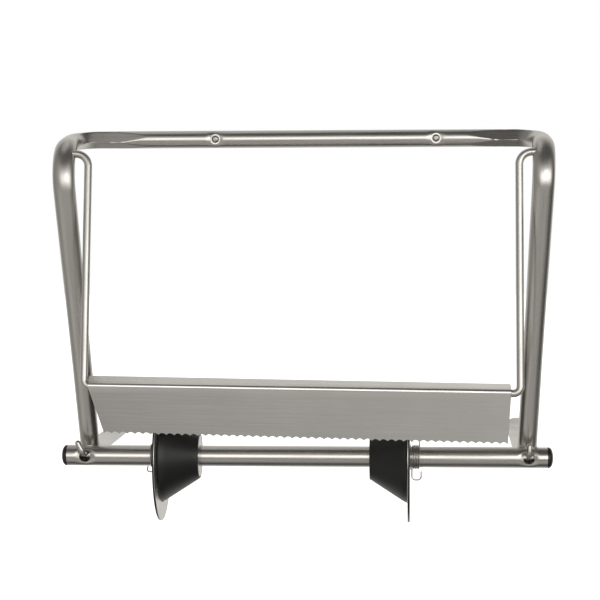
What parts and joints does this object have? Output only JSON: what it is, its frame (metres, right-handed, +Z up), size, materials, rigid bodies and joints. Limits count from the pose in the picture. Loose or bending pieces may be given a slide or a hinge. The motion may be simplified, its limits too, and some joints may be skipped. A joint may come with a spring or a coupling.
{
  "type": "cling film dispenser",
  "caption": "Bent tube stand that holds a film roll on a bar between sliding core cones, with a serrated blade on a swinging wire bail.",
  "frame": {"origin": "middle of the roll bar's axis, in the plane of the feet's undersides", "axes": "+X along the roll bar to the right as seen from the front, +Y back over the feet, +Z up"},
  "size_m": [0.522, 0.3814, 0.4147],
  "materials": {
    "tube_steel": "brushed along the tube",
    "wire_steel": "drawn wire, satin",
    "blade_steel": "brushed along the blade",
    "disc_steel": "satin",
    "screw_steel": "bright",
    "cone_plastic": "black, semi-matt",
    "cap_plastic": "black, fine grain"
  },
  "bodies": {
    "frame": {"frame_tube": "tube_steel", "mount_screw_left": "screw_steel", "mount_screw_right": "screw_steel", "roll_bar": "tube_steel", "end_cap_left": "cap_plastic", "end_cap_right": "cap_plastic", "bar_hook_left": "wire_steel", "bar_hook_right": "wire_steel"},
    "cutter": {"blade_bail": "wire_steel", "blade": "blade_steel"},
    "left_clip": {"spring_clip_left": "wire_steel"},
    "left_cone": {"cone_left": "cone_plastic", "flange_disc_left": "disc_steel", "cone_end_ring_left": "disc_steel", "cone_sleeve_left": "disc_steel", "outer_washer_left": "disc_steel"},
    "right_clip": {"spring_clip_right": "wire_steel"},
    "right_cone": {"cone_right": "cone_plastic", "flange_disc_right": "disc_steel", "cone_end_ring_right": "disc_steel", "cone_sleeve_right": "disc_steel", "outer_washer_right": "disc_steel"}
  },
  "joints": [
    {"name": "blade_swing", "type": "hinge", "parent": "frame", "child": "cutter", "pos_m": [0, -0.049, 0.3195], "axis": [-1, 0, 0], "range_deg": [0, 100]},
    {"name": "left_clip_slide", "type": "slide", "parent": "frame", "child": "left_clip", "axis": [1, 0, 0], "range_m": [-0.045, 0.1]},
    {"name": "left_cone_spin", "type": "hinge", "parent": "left_clip", "child": "left_cone", "pos_m": [-0.1525, 0, 0], "axis": [1, 0, 0], "continuous": true},
    {"name": "right_clip_slide", "type": "slide", "parent": "frame", "child": "right_clip", "axis": [1, 0, 0], "range_m": [-0.06, 0.09]},
    {"name": "right_cone_spin", "type": "hinge", "parent": "right_clip", "child": "right_cone", "pos_m": [0.108, 0, 0], "axis": [1, 0, 0], "continuous": true}
  ]
}
